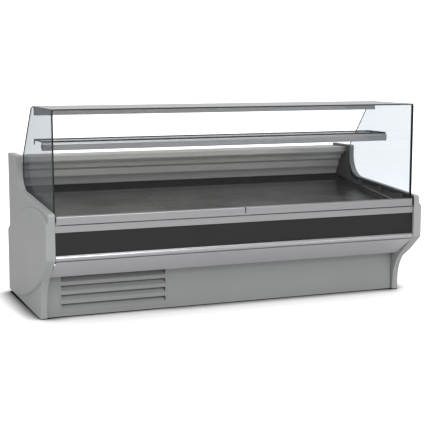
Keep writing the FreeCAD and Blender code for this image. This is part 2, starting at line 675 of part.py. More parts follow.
# ---- machine bay ----------------------------------------------------------------------------
def condensing_unit_base():
    """Folded steel tray that carries the compressor and condenser."""
    tray = box((-1110.0, -452.0), (306.0, 1050.0), (80.0 + GAP, 83.0))
    lips = [box((x, x + 2.5), (306.0, 1050.0), (80.0 + GAP, 96.0)) for x in (-1110.0, -454.5)]
    return fuse_all([tray] + lips)


def compressor():
    """Hermetic compressor: a domed shell on a foot plate with four rubber-mounted feet."""
    x, depth, z = COMPRESSOR
    shell = rod(x, depth, z + 14.0, Vec(0, 0, 1), 86.0, 182.0)
    rims = [edge for edge in shell.Edges if edge.BoundBox.ZMax - edge.BoundBox.ZMin < 0.01]
    shell = shell.makeFillet(38.0, rims)
    seam = rod(x, depth, z + 112.0, Vec(0, 0, 1), 90.0, 7.0)
    plate = box((x - 105.0, x + 105.0), (depth - 70.0, depth + 70.0), (z + 10.0, z + 16.0))
    feet = [rod(x + right, depth + rear, z, Vec(0, 0, 1), 12.0, 16.0) for right in (-88.0, 88.0)
            for rear in (-54.0, 54.0)]
    terminal = box((x - 32.0, x + 32.0), (depth - 106.0, depth - 70.0), (z + 60.0, z + 108.0))
    return fuse_all([shell, seam, plate, terminal] + feet)


def condenser_coil():
    """Condenser behind the louvre grille."""
    return fin_pack(CONDENSER_X, CONDENSER_DEPTH, CONDENSER_Z, 31, 2, 6)


def condenser_fan():
    """Fan that draws air through the condenser."""
    return fan_rotor(sum(CONDENSER_X) / 2, 404.0, CONDENSER_FAN_Z, CONDENSER_FAN_R, 30.0, 5,
                     4.0 + PIN_CLEARANCE)


def condenser_fan_motor():
    """Motor behind the condenser fan, on a strut across the shroud that stands on the condenser's back."""
    x = sum(CONDENSER_X) / 2
    body = rod(x, 436.0, CONDENSER_FAN_Z, Vec(0, 1, 0), 38.0, 70.0)
    spindle = rod(x, 400.0, CONDENSER_FAN_Z, Vec(0, 1, 0), 4.0, 36.0)
    strut = box((x - 150.0, x + 150.0), (436.0, 442.0), (CONDENSER_FAN_Z - 8.0, CONDENSER_FAN_Z + 8.0))
    pads = [box((edge - 8.0, edge + 8.0), (SHROUD_BACK, 442.0),
                (CONDENSER_FAN_Z - 8.0, CONDENSER_FAN_Z + 8.0)) for edge in (x - 142.0, x + 142.0)]
    return Part.Compound([fuse_all([body, spindle, strut] + pads), condenser_shroud(x)])


def condenser_shroud(centre):
    """Two side walls and a rear plate with the fan's round hole."""
    near, far = CONDENSER_X
    front = CONDENSER_DEPTH[1]
    walls = [box((edge, edge + SHROUD_T), (front, SHROUD_BACK), CONDENSER_Z)
             for edge in (near, far - SHROUD_T)]
    plate = box((near, far), (SHROUD_BACK - SHROUD_T, SHROUD_BACK), CONDENSER_Z)
    plate = plate.cut(rod(centre, front + 30.0, CONDENSER_FAN_Z, Vec(0, 1, 0), CONDENSER_FAN_R + 5.0, 20.0))
    return fuse_all(walls + [plate])


def pipework():
    """Copper lines: discharge to the condenser, liquid line with its drier, and the suction line."""
    x, depth, z = COMPRESSOR
    top = z + 196.0
    side = CONDENSER_X[1] + 8.0
    discharge = bent_pipe([(x - 40.0, depth, top), (x - 40.0, depth, 360.0), (x - 40.0, 353.0 + 0.1, 360.0),
                           (side, 353.0 + 0.1, 360.0)], 5.0, 22.0)
    suction = bent_pipe([(x + 40.0, depth, top), (x + 40.0, depth, 400.0), (x + 40.0, 960.0, 400.0),
                         (x + 40.0, 960.0, TUB_BOTTOM_Z)], 7.0, 20.0)
    liquid = bent_pipe([(side, 335.5, 109.0), (-520.0, 335.5, 109.0), (-520.0, 480.0, 109.0),
                        (-520.0, 480.0, TUB_BOTTOM_Z)], 4.0, 18.0)
    drier = rod(-520.0, 480.0, 220.0, Vec(0, 0, 1), 16.0, 110.0)
    return Part.Compound([discharge, suction, liquid.fuse(drier).removeSplitter()])


# ---- rear -----------------------------------------------------------------------------------
def rear_panel():
    """Rear sheet with the reserve's opening, louvre slots to the machine bay and control cut-outs."""
    skin = (REAR_SKIN, REAR_SKIN + SHEET)
    panel = box((-END_INNER + 1.0, END_INNER - 1.0), skin, (REAR_LOW, 892.0))
    panel = panel.cut(box((RESERVE_X[0] - 2.0, RESERVE_X[1] + 3.0), (1100.0, 1150.0),
                          (RESERVE_Z[0], RESERVE_Z[1] + 2.0)))
    for k in range(7):
        z = 150.0 + 36.0 * k
        panel = panel.cut(box((-1060.0, -520.0), (1140.0, 1150.0), (z, z + 14.0)))
    low, high = CONTROL_Z
    panel = panel.cut(box((CONTROL_X[0] + 6.0, CONTROL_X[1] - 6.0), (1140.0, 1150.0),
                          (low + 6.0, high - 6.0)))
    return panel.cut(rod(*GLAND, Vec(0, 1, 0), 10.0, 30.0))


def reserve_box():
    """Insulated cold store under the tub, open at the back, with a mullion between its doors."""
    wall = 40.0
    outer = box(RESERVE_X, RESERVE_DEPTH, RESERVE_Z)
    inner = box((RESERVE_X[0] + wall, RESERVE_X[1] - wall), (RESERVE_DEPTH[0] + wall, RESERVE_DEPTH[1] + 1.0),
                (RESERVE_Z[0] + wall, RESERVE_Z[1] - wall))
    middle = door_span(1)[0] - 1.0
    mullion = box((middle - 22.0, middle + 22.0), (RESERVE_DEPTH[1] - 40.0, RESERVE_DEPTH[1]),
                  (RESERVE_Z[0] + 1.0, RESERVE_Z[1] - 1.0))
    return outer.cut(inner).fuse(mullion).removeSplitter()


def reserve_door(index):
    """Foamed door leaf, rounded at its hinge edge and bored for the pins, with a finger pocket."""
    x0, x1 = door_span(index)
    axis = door_axis_x(index)
    leaf = box((axis, x1), (DOOR_FACE, DOOR_FACE + DOOR_T), DOOR_Z)
    edge = rod(axis, DOOR_AXIS_DEPTH, DOOR_Z[0], Vec(0, 0, 1), DOOR_T / 2, DOOR_Z[1] - DOOR_Z[0])
    leaf = leaf.fuse(edge).removeSplitter()
    for z in (DOOR_Z[0] - 1.0, DOOR_Z[1] - 24.0):
        leaf = leaf.cut(rod(axis, DOOR_AXIS_DEPTH, z, Vec(0, 0, 1), PIN_R + PIN_CLEARANCE, 25.0))
    middle = sum(DOOR_Z) / 2
    pocket = box((x1 - 70.0, x1 - 30.0), (DOOR_FACE + DOOR_T - 22.0, DOOR_FACE + DOOR_T + 1.0),
                 (middle - 70.0, middle + 70.0))
    return leaf.cut(pocket)


def door_seal(index):
    """Magnetic seal frame on the inner face of a door."""
    x0, x1 = (door_axis_x(index) + 4.0, door_span(index)[1] - 6.0)
    z0, z1 = (DOOR_Z[0] + 4.0, DOOR_Z[1] - 4.0)
    depth = (RESERVE_DEPTH[1] + 1.0, DOOR_FACE)
    inner = box((x0 + 14.0, x1 - 14.0), (depth[0] - 1.0, depth[1] + 1.0), (z0 + 14.0, z1 - 14.0))
    return box((x0, x1), depth, (z0, z1)).cut(inner)


def control_panel():
    """Control fascia with the thermostat's case behind it and holes for its keys and rockers."""
    face = (REAR_SKIN + SHEET, REAR_SKIN + SHEET + FASCIA_T)
    fascia = box(CONTROL_X, face, CONTROL_Z)
    case = box((CONTROL_X[0] + 20.0, CONTROL_X[0] + 96.0), (1108.0, face[0] + 0.5),
               (CONTROL_Z[0] + 14.0, CONTROL_Z[1] - 14.0))
    panel = fascia.fuse(case).removeSplitter()
    for x in KEY_X:
        panel = panel.cut(rod(x, face[1] - 8.0, KEY_Z, Vec(0, 1, 0), KEY_R + 0.4, 10.0))
    for x in ROCKER_X:
        panel = panel.cut(box((x - 11.0, x + 11.0), (face[0] - 1.0, face[1] + 1.0),
                              (KEY_Z - 15.0, KEY_Z + 15.0)))
        frame = box((x - 13.0, x + 13.0), (face[0] - 16.0, face[0]), (KEY_Z - 17.0, KEY_Z + 17.0))
        hollow = box((x - 11.0, x + 11.0), (face[0] - 14.0, face[0] + 1.0), (KEY_Z - 15.0, KEY_Z + 15.0))
        bearing = rod(x - 14.0, ROCKER_AXIS, KEY_Z, Vec(1, 0, 0), TRUNNION_R + PIN_CLEARANCE, 28.0)
        panel = panel.fuse(frame.cut(hollow).cut(bearing)).removeSplitter()
    return panel


def controller_key(index):
    """Round push key of the thermostat."""
    front = REAR_SKIN + SHEET + FASCIA_T
    return rod(KEY_X[index], front - 5.0, KEY_Z, Vec(0, 1, 0), KEY_R, 6.2)


def rocker_switch(index):
    """Rocker that tilts about a level axis on its trunnion."""
    x = ROCKER_X[index]
    front = REAR_SKIN + SHEET + FASCIA_T
    cap = prism(x - 10.4, x + 10.4, (front - 7.0, KEY_Z - 8.0), (front - 1.0, KEY_Z - 13.5),
                (front + 2.2, KEY_Z - 13.5), ((front + 0.6, KEY_Z), (front + 2.2, KEY_Z + 13.5)),
                (front - 1.0, KEY_Z + 13.5), (front - 7.0, KEY_Z + 8.0))
    trunnion = rod(x - 12.4, ROCKER_AXIS, KEY_Z, Vec(1, 0, 0), TRUNNION_R, 24.8)
    return cap.fuse(trunnion).removeSplitter()


def cable_gland():
    """Mains cable gland through the rear panel: thread, hexagon body and domed nut."""
    x, depth, z = GLAND
    outside = REAR_SKIN + SHEET
    body = rod(x, depth, z, Vec(0, 1, 0), 9.8, outside - depth)
    flange = rod(x, outside, z, Vec(0, 1, 0), 14.0, 5.0)
    return fuse_all([body, flange]).cut(rod(x, depth - 1.0, z, Vec(0, 1, 0), 5.5, 30.0))


def panel_screws():
    """Pan-head screws of the rear panel, the lower front panel and the grille."""
    outside = REAR_SKIN + SHEET
    screws = []
    for x in (-1170.0, -585.0, 0.0, 585.0, 1170.0):
        for z in (480.0, 870.0):
            screws.append(pan_head(x, outside, z, 1))
    for x in (GRILLE_X[0] - 12.0, GRILLE_X[1] + 12.0, 300.0, 1170.0):
        for z in (BASE_Z[0] + 16.0, BASE_Z[1] - 16.0):
            screws.append(pan_head(x, BASE_DEPTH, z, -1))
    return Part.Compound(screws)


def pan_head(x, depth, z, way):
    """Low domed screw head standing on a face that looks along way times Y."""
    head = rod(x, depth, z, Vec(0, way, 0), 4.0, 2.2)
    rim = [edge for edge in head.Edges if abs(edge.BoundBox.YMin - back(depth + 2.2 * way)) < 0.01]
    return head.makeFillet(1.4, rim)


# ---- output ---------------------------------------------------------------------------------
def main():
    """Build every node and write its file."""
    os.makedirs("parts", exist_ok=True)
    right_end = end_panel()
    save(right_end, "end_panel_right")
    save(mirrored(right_end), "end_panel_left")
    right_side = side_glass()
    save(right_side, "side_glass_right")
    save(mirrored(right_side), "side_glass_left")
    for side, word in ((-1, "left"), (1, "right")):
        save(glass_holder(side), "glass_holder_" + word)
        save(front_glass(side), "front_glass_" + word)
    for make in SINGLES:
        save(make(), make.__name__)
    for index, (x, depth) in enumerate([(x, depth) for x in FOOT_X for depth in FOOT_DEPTHS]):
        save(levelling_foot(x, depth), "levelling_foot_%d" % (index + 1))
    for make, count in REPEATS:
        for index in range(count):
            save(make(index), "%s_%d" % (make.__name__, index + 1))


SINGLES = (
    base_frame, lower_front_panel, louvre_grille, apron, bumper, front_infill, lower_strip, front_sill,
    hinge_brackets, hinge_pins, top_glass, glass_clamps, top_rail, light_tube, shelf_glass, shelf_rail,
    tub_body, tub_liner, drain_pipe, deck_bearers, back_wall_panel, worktop, evaporator_fan_motors,
    evaporator_coil, condensing_unit_base, compressor, condenser_coil, condenser_fan, condenser_fan_motor,
    pipework, rear_panel, reserve_box, control_panel, cable_gland, panel_screws,
)
REPEATS = (
    (deck_pan, PAN_COUNT), (evaporator_fan, len(FAN_X)), (reserve_door, DOOR_COUNT), (door_seal, DOOR_COUNT),
    (controller_key, len(KEY_X)), (rocker_switch, len(ROCKER_X)),
)

main()
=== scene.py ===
import json
import math
import bmesh
import bpy
import numpy as np
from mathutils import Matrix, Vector


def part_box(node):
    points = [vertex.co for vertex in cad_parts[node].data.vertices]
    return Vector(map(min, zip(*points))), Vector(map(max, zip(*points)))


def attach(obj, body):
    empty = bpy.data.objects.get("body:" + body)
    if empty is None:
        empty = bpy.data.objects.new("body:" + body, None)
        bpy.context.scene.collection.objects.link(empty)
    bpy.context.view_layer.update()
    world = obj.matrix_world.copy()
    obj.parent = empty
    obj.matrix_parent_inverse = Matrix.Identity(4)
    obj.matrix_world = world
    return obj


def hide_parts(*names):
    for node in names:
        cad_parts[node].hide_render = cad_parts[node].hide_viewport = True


"""Looks of a refrigerated serve-over deli case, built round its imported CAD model.

The file is laid out as a Blender add-on and is run as a script.  Every length is in metres, in the
frame of the CAD model: +X along the case, +Y from the customer's side to the server's, +Z up.
"""

bl_info = {
    "name": "Refrigerated Deli Case",
    "version": (1, 0, 0),
    "blender": (4, 5, 0),
    "location": "View3D > Sidebar > Deli Case",
    "description": "Builds the finished pieces of a refrigerated deli case",
    "category": "Add Mesh",
}

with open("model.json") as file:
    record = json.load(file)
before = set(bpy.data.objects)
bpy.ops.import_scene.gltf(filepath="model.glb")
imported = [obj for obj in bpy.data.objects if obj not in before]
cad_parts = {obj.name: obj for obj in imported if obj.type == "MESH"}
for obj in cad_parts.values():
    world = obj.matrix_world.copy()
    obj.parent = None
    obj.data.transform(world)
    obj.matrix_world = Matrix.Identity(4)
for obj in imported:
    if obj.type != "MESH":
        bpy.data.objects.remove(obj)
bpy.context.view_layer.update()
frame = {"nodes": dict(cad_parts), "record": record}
RECORD = frame["record"]
BODY_OF = {node: body for body, nodes in RECORD["behaviour"]["bodies"].items() for node in nodes}
SLOT_OF = {entry["node"]: entry["material_slot"] for entry in RECORD["subparts"]}


# ---- settings -------------------------------------------------------------------------------
def colour_property(name, description, default):
    """A plain linear colour that a user can change."""
    return bpy.props.FloatVectorProperty(
        name=name, description=description, default=default, size=3, subtype="COLOR", min=0.0, max=1.0)


def length_property(name, description, default):
    """A length in metres that a user can change."""
    return bpy.props.FloatProperty(
        name=name, description=description, default=default, min=0.0, unit="LENGTH")


class DeliFinishes(bpy.types.PropertyGroup):
    """Colours of the finishes."""

    moulding: colour_property("Moulding", "Moulded end panels", (0.365, 0.374, 0.37))
    paint: colour_property("Paint", "Powder-coated sheet", (0.31, 0.315, 0.315))
    # apron: a lighter copy of the powder coat; the lift is painted light on the downward-facing sheet
    apron: colour_property("Apron", "Slanted sheet under the bumper", (0.44, 0.44, 0.46))
    aluminium: colour_property("Aluminium", "Satin profiles", (0.44, 0.44, 0.45))
    bright: colour_property("Bright aluminium", "Bumper rail", (0.50, 0.50, 0.52))
    infill: colour_property("Infill", "Dark front panel", (0.004, 0.004, 0.004))
    stainless: colour_property("Stainless", "Back wall and worktop", (0.60, 0.60, 0.57))
    # deck: a dark copy of stainless steel; its darkness is painted shade on the deck pans and tub liner
    deck: colour_property("Deck", "Deck pans and tub liner", (0.18, 0.18, 0.17))
    # back wall: a lighter, partly diffuse copy of stainless steel; the extra brightness is painted light
    wall: colour_property("Back wall", "Back wall panel", (0.74, 0.74, 0.71))
    zinc: colour_property("Zinc", "Zinc-coated sheet", (0.50, 0.52, 0.53))
    glass: colour_property("Glass", "Tint of the glass", (0.985, 0.99, 0.994))
    lamp: colour_property("Lamp", "Opal lamp tube", (0.90, 0.90, 0.88))
    copper: colour_property("Copper", "Refrigerant pipes", (0.78, 0.40, 0.26))


class DeliSizes(bpy.types.PropertyGroup):
    """Small sizes of the finished pieces."""

    sheet_edge: length_property("Sheet edge", "Rounding of folded sheet edges", 0.0004)
    profile_edge: length_property("Profile edge", "Rounding of extruded profile edges", 0.0008)
    glass_edge: length_property("Glass edge", "Arris of the polished glass edges", 0.0008)
    seal_width: length_property("Seal width", "Dark joint along a glass corner", 0.0075)
    middle_joint: length_property("Middle joint", "Half width of the clear joint of the glass", 0.01)


class DeliStage(bpy.types.PropertyGroup):
    """Camera, floor and lights."""

    eye: bpy.props.FloatVectorProperty(
        name="Eye", description="Camera place", default=(-2.591, -6.624, 1.539), size=3,
        subtype="XYZ", unit="LENGTH")
    turn: bpy.props.FloatProperty(name="Turn", description="Camera turn from +Y towards +X", default=0.3755,
                                  subtype="ANGLE")
    tilt: bpy.props.FloatProperty(name="Tilt", description="Camera tilt below the level", default=0.1408,
                                  subtype="ANGLE")
    lens: bpy.props.FloatProperty(
        name="Lens", description="Focal length in millimetres", default=90.5, min=1.0)
    floor: colour_property("Floor", "Pale floor", (0.93, 0.93, 0.93))
    room: bpy.props.FloatProperty(
        name="Room light", description="Strength of the even room light", default=0.60)
    backdrop: bpy.props.FloatProperty(
        name="Backdrop", description="Strength of the white backdrop", default=1.15)
    floor_glow: bpy.props.FloatProperty(
        name="Floor glow", description="Light added to the floor near the case", default=0.30)
    floor_bounce: colour_property(
        "Floor bounce", "Floor as it lights and mirrors in the case", (0.75, 0.75, 0.75))
    # reach of the painted contact shadow that the floor shader puts under the case
    contact_shadow_reach: length_property("Contact reach", "How near the case darkens the floor", 0.16)


# ---- shader helpers -------------------------------------------------------------------------
def principled(name, colour, **values):
    """A material with one Principled shader; values set its sockets by name with spaces as underscores."""
    material = bpy.data.materials.new(name)
    material.use_nodes = True
    shader = material.node_tree.nodes["Principled BSDF"]
    shader.inputs["Base Color"].default_value = (*colour, 1.0)
    for socket, value in values.items():
        shader.inputs[socket.replace("_", " ")].default_value = value
    return material, material.node_tree, shader


def pattern(tree, scale, detail=2.0, stretch=(1.0, 1.0, 1.0), kind="ShaderNodeTexNoise"):
    """Noise or cells over the object's own coordinates, stretched along its axes."""
    place = tree.nodes.new("ShaderNodeTexCoord")
    mapping = tree.nodes.new("ShaderNodeMapping")
    mapping.inputs["Scale"].default_value = stretch
    texture = tree.nodes.new(kind)
    texture.inputs["Scale"].default_value = scale
    if "Detail" in texture.inputs:
        texture.inputs["Detail"].default_value = detail
    tree.links.new(place.outputs["Object"], mapping.inputs["Vector"])
    tree.links.new(mapping.outputs["Vector"], texture.inputs["Vector"])
    return texture.outputs["Distance" if kind == "ShaderNodeTexVoronoi" else "Fac"]


def spread(tree, source, low, high, start=0.3, stop=0.7):
    """A pattern mapped from start..stop onto low..high."""
    node = tree.nodes.new("ShaderNodeMapRange")
    node.inputs["From Min"].default_value = start
    node.inputs["From Max"].default_value = stop
    node.inputs["To Min"].default_value = low
    node.inputs["To Max"].default_value = high
    tree.links.new(source, node.inputs["Value"])
    return node.outputs["Result"]


def tint(tree, shader, source, colour, change):
    """Base colour that drifts by the factor change, up and down, with a pattern."""
    mix = tree.nodes.new("ShaderNodeMix")
    mix.data_type = "RGBA"
    mix.inputs["A"].default_value = (*[c * (1.0 - change) for c in colour], 1.0)
    mix.inputs["B"].default_value = (*[min(1.0, c * (1.0 + change)) for c in colour], 1.0)
    tree.links.new(source, mix.inputs["Factor"])
    tree.links.new(mix.outputs["Result"], shader.inputs["Base Color"])


def bump(tree, shader, source, strength, distance):
    """Bump from a pattern, chained after any bump already there."""
    node = tree.nodes.new("ShaderNodeBump")
    node.inputs["Strength"].default_value = strength
    node.inputs["Distance"].default_value = distance
    tree.links.new(source, node.inputs["Height"])
    if shader.inputs["Normal"].is_linked:
        tree.links.new(shader.inputs["Normal"].links[0].from_socket, node.inputs["Normal"])
    tree.links.new(node.outputs["Normal"], shader.inputs["Normal"])


def directly_seen(tree):
    """1 where only clear glass lies between the camera and the surface, 0 in reflections and bounces."""
    path = tree.nodes.new("ShaderNodeLightPath")
    total = tree.nodes.new("ShaderNodeMath")
    total.operation = "ADD"
    tree.links.new(path.outputs["Diffuse Depth"], total.inputs[0])
    tree.links.new(path.outputs["Glossy Depth"], total.inputs[1])
    few = tree.nodes.new("ShaderNodeMath")
    few.operation = "LESS_THAN"
    few.inputs[1].default_value = 0.5
    tree.links.new(total.outputs[0], few.inputs[0])
    return few.outputs[0]


# ---- finishes -------------------------------------------------------------------------------
def moulded_skin(colour):
    """Moulded panel: very fine leather grain and a slow drift of gloss."""
    material, tree, shader = principled("moulded_skin", colour, Roughness=0.45)
    slow = pattern(tree, 3.0, 3.0)
    tint(tree, shader, spread(tree, slow, 0.0, 1.0), colour, 0.03)
    tree.links.new(spread(tree, slow, 0.40, 0.50), shader.inputs["Roughness"])
    bump(tree, shader, pattern(tree, 900.0, 2.0), 0.12, 0.0004)
    return material


def powder_coat(name, colour, roughness):
    """Powder-coated sheet: orange peel at two sizes and slightly uneven gloss."""
    material, tree, shader = principled(name, colour, Roughness=roughness)
    slow = pattern(tree, 2.2, 3.0)
    tint(tree, shader, spread(tree, slow, 0.0, 1.0), colour, 0.025)
    tree.links.new(spread(tree, slow, roughness - 0.05, roughness + 0.05), shader.inputs["Roughness"])
    bump(tree, shader, pattern(tree, 260.0, 1.0), 0.10, 0.0006)
    bump(tree, shader, pattern(tree, 1100.0, 1.0), 0.06, 0.0002)
    return material


def brushed_metal(name, colour, roughness, grain=0.06, along="X", anisotropy=0.5, metallic=1.0):
    """Metal brushed along one axis: long fine scratches vary its colour, gloss and height."""
    material, tree, shader = principled(
        name, colour, Metallic=metallic, Roughness=roughness, Anisotropic=anisotropy)
    stretch = {"X": (0.002, 1.0, 1.0), "Y": (1.0, 0.002, 1.0), "Z": (1.0, 1.0, 0.002)}[along]
    lines = pattern(tree, 700.0, 3.0, stretch)
    cloud = pattern(tree, 1.7, 3.0)
    tint(tree, shader, spread(tree, lines, 0.0, 1.0), colour, grain)
    total = tree.nodes.new("ShaderNodeMath")
    total.operation = "ADD"
    tree.links.new(spread(tree, lines, roughness - 0.05, roughness + 0.04), total.inputs[0])
    tree.links.new(spread(tree, cloud, -0.02, 0.03), total.inputs[1])
    tree.links.new(total.outputs[0], shader.inputs["Roughness"])
    bump(tree, shader, lines, 0.02, 0.0001)
    return material


def zinc_coat(name, colour):
    """Zinc-coated sheet with its frost-like spangle."""
    material, tree, shader = principled(name, colour, Metallic=0.85, Roughness=0.45)
    spangle = pattern(tree, 60.0, kind="ShaderNodeTexVoronoi")
    tint(tree, shader, spread(tree, spangle, 0.0, 1.0, 0.1, 0.8), colour, 0.10)
    tree.links.new(spread(tree, spangle, 0.36, 0.55, 0.1, 0.8), shader.inputs["Roughness"])
    bump(tree, shader, pattern(tree, 500.0), 0.05, 0.0002)
    return material


def satin_black(name, colour, roughness):
    """Smooth dark coat with a faint drift of gloss and a trace of dust."""
    material, tree, shader = principled(name, colour, Roughness=roughness)
    slow = pattern(tree, 4.0, 4.0)
    tint(tree, shader, spread(tree, slow, 0.0, 1.0), colour, 0.08)
    tree.links.new(spread(tree, slow, roughness - 0.06, roughness + 0.06), shader.inputs["Roughness"])
    bump(tree, shader, pattern(tree, 700.0), 0.05, 0.0002)
    return material


def moulded_plastic(name, colour, roughness, grain=400.0):
    """Moulded plastic or rubber with a fine texture."""
    material, tree, shader = principled(name, colour, Roughness=roughness)
    texture = pattern(tree, grain, 3.0)
    tint(tree, shader, spread(tree, texture, 0.0, 1.0), colour, 0.06)
    tree.links.new(spread(tree, texture, roughness - 0.05, roughness + 0.07), shader.inputs["Roughness"])
    bump(tree, shader, texture, 0.10, 0.0003)
    return material


def opal_lamp(colour):
    """Opal lamp tube, faintly glowing and slightly uneven in gloss."""
    material, tree, shader = principled("opal_lamp", colour, Roughness=0.3, Emission_Strength=0.35)
    shader.inputs["Emission Color"].default_value = (1.0, 0.99, 0.96, 1.0)
    tree.links.new(spread(tree, pattern(tree, 40.0), 0.25, 0.36), shader.inputs["Roughness"])
    return material


def clear_glass(name, colour, mirror, growth=0.5):
    """Clear flat glass: it lets lamp light through and mirrors more the flatter it is seen.

    The mirrored part is 0.04 seen straight on, plus growth times the cube of one minus the cosine. The mirror
    colour and the tint are chosen pane by pane as painted reflection and painted shade.
    """
    material, tree, shader = principled(name, colour)
    tree.nodes.remove(shader)
    clear = tree.nodes.new("ShaderNodeBsdfTransparent")
    clear.inputs["Color"].default_value = (*colour, 1.0)
    glossy = tree.nodes.new("ShaderNodeBsdfGlossy")
    glossy.inputs["Color"].default_value = (*mirror, 1.0)
    tree.links.new(spread(tree, pattern(tree, 6.0), 0.01, 0.03), glossy.inputs["Roughness"])
    facing = tree.nodes.new("ShaderNodeLayerWeight")
    facing.inputs["Blend"].default_value = 0.5
    power = tree.nodes.new("ShaderNodeMath")
    power.operation = "POWER"
    power.inputs[1].default_value = 3.0
    tree.links.new(facing.outputs["Facing"], power.inputs[0])
    share = tree.nodes.new("ShaderNodeMath")
    share.operation = "MULTIPLY_ADD"
    share.inputs[1].default_value = growth
    share.inputs[2].default_value = 0.04
    tree.links.new(power.outputs[0], share.inputs[0])
    mix = tree.nodes.new("ShaderNodeMixShader")
    tree.links.new(share.outputs[0], mix.inputs["Fac"])
    tree.links.new(clear.outputs["BSDF"], mix.inputs[1])
    tree.links.new(glossy.outputs["BSDF"], mix.inputs[2])
    tree.links.new(mix.outputs["Shader"], tree.nodes["Material Output"].inputs["Surface"])
    return material


def clear_joint():
    """Facing edges of two glass sheets, which nearly vanish."""
    material, tree, shader = principled("clear_joint", (1.0, 1.0, 1.0), Roughness=0.05)
    tree.links.new(spread(tree, pattern(tree, 40.0), 0.04, 0.08), shader.inputs["Roughness"])
    clear = tree.nodes.new("ShaderNodeBsdfTransparent")
    mix = tree.nodes.new("ShaderNodeMixShader")
    mix.inputs["Fac"].default_value = 0.97
    tree.links.new(shader.outputs["BSDF"], mix.inputs[1])
    tree.links.new(clear.outputs["BSDF"], mix.inputs[2])
    tree.links.new(mix.outputs["Shader"], tree.nodes["Material Output"].inputs["Surface"])
    return material


def outlet_and_shade():
    """Black honeycomb, pitted like the mouths of its cells; its near-black colour, darkest in the middle of
    each cell, is painted shade for the dark slot and the cell mouths.
    """
    colour = (0.008, 0.008, 0.008)
    material, tree, shader = principled("outlet_and_shade", colour, Roughness=0.7)
    cells = pattern(tree, 160.0, kind="ShaderNodeTexVoronoi")
    # painted shade: each cell is darker towards its middle
    tint(tree, shader, spread(tree, cells, 0.0, 1.0, 0.0, 0.6), colour, 0.5)
    tree.links.new(spread(tree, cells, 0.6, 0.85, 0.0, 0.6), shader.inputs["Roughness"])
    bump(tree, shader, cells, 0.5, 0.003)
    return material


def shaded_glass_edge():
    """Ground and polished glass edge, painted nearly black as painted shade for how a glass edge looks."""
    colour = (0.018, 0.022, 0.022)
    material, tree, shader = principled("shaded_glass_edge", colour, Roughness=0.22)
    streak = pattern(tree, 90.0, 2.0)
    tint(tree, shader, spread(tree, streak, 0.0, 1.0), colour, 0.3)
    tree.links.new(spread(tree, streak, 0.16, 0.30), shader.inputs["Roughness"])
    bump(tree, shader, pattern(tree, 600.0), 0.04, 0.0002)
    return material


def make_finishes(settings):
    """One material for each of the record's slots, by slot name, and a few extra ones."""
    # painted reflection and shade: the panes are copies of one clear glass, each with its own reflection
    # strength, growth and tint
    front_painted_reflection = (0.16, 0.165, 0.17)
    side_painted_reflection = (0.36, 0.37, 0.38)
    top_painted_reflection = (0.97, 0.97, 0.97)
    side_painted_shade = (0.845, 0.865, 0.88)
    return {
        "moulded_grey": moulded_skin(settings.moulding),
        "painted_grey": powder_coat("painted_grey", settings.paint, 0.42),
        # painted light: the apron is the same powder coat made lighter
        "apron_grey_lit": powder_coat("apron_grey_lit", settings.apron, 0.40),
        "satin_aluminium": brushed_metal("satin_aluminium", settings.aluminium, 0.34),
        "bright_aluminium": brushed_metal("bright_aluminium", settings.bright, 0.26, 0.04),
        "black_panel": satin_black("black_panel", settings.infill, 0.52),
        "dark_satin": satin_black("dark_satin", (0.085, 0.085, 0.078), 0.42),
        "outlet_and_shade": outlet_and_shade(),
        "clear_joint": clear_joint(),
        # painted shade: the deck pans and liner are stainless steel made much darker than the worktop's
        "deck_steel_shaded": brushed_metal("deck_steel_shaded", settings.deck, 0.27, 0.05),
        "stainless": brushed_metal("stainless", settings.stainless, 0.30, 0.05),
        # painted light: the back wall is stainless steel made lighter and partly diffuse
        "wall_steel_lit": brushed_metal("wall_steel_lit", settings.wall, 0.34, 0.05, metallic=0.35),
        "galvanised": zinc_coat("galvanised", settings.zinc),
        "foamed_zinc": zinc_coat("foamed_zinc", settings.zinc),
        "foamed_door": powder_coat("foamed_door", settings.paint, 0.38),
        "steel": brushed_metal("steel", (0.60, 0.60, 0.61), 0.30, 0.04, "Z"),
        "clear_glass": clear_glass("clear_glass", settings.glass, front_painted_reflection),
        "side_pane": clear_glass("side_pane", side_painted_shade, side_painted_reflection),
        "top_pane": clear_glass("top_pane", settings.glass, top_painted_reflection, growth=1.0),
        "shaded_glass_edge": shaded_glass_edge(),
        "white_lamp": opal_lamp(settings.lamp),
        "foot_plastic": moulded_plastic("foot_plastic", (0.03, 0.03, 0.03), 0.5),
        "black_rubber": moulded_plastic("black_rubber", (0.025, 0.025, 0.026), 0.62, 700.0),
        "waste_plastic": moulded_plastic("waste_plastic", (0.45, 0.46, 0.47), 0.4),
        "coil_fins": brushed_metal("coil_fins", (0.68, 0.69, 0.70), 0.38, 0.05, "Z"),
        "fan_plastic": moulded_plastic("fan_plastic", (0.03, 0.03, 0.032), 0.45),
        "black_enamel": satin_black("black_enamel", (0.02, 0.02, 0.021), 0.30),
        "copper": brushed_metal("copper", settings.copper, 0.28, 0.08, "X"),
        "control_black": moulded_plastic("control_black", (0.02, 0.02, 0.021), 0.28, 900.0),
        "key_plastic": moulded_plastic("key_plastic", (0.36, 0.37, 0.38), 0.42),
    }


FINISH = {}


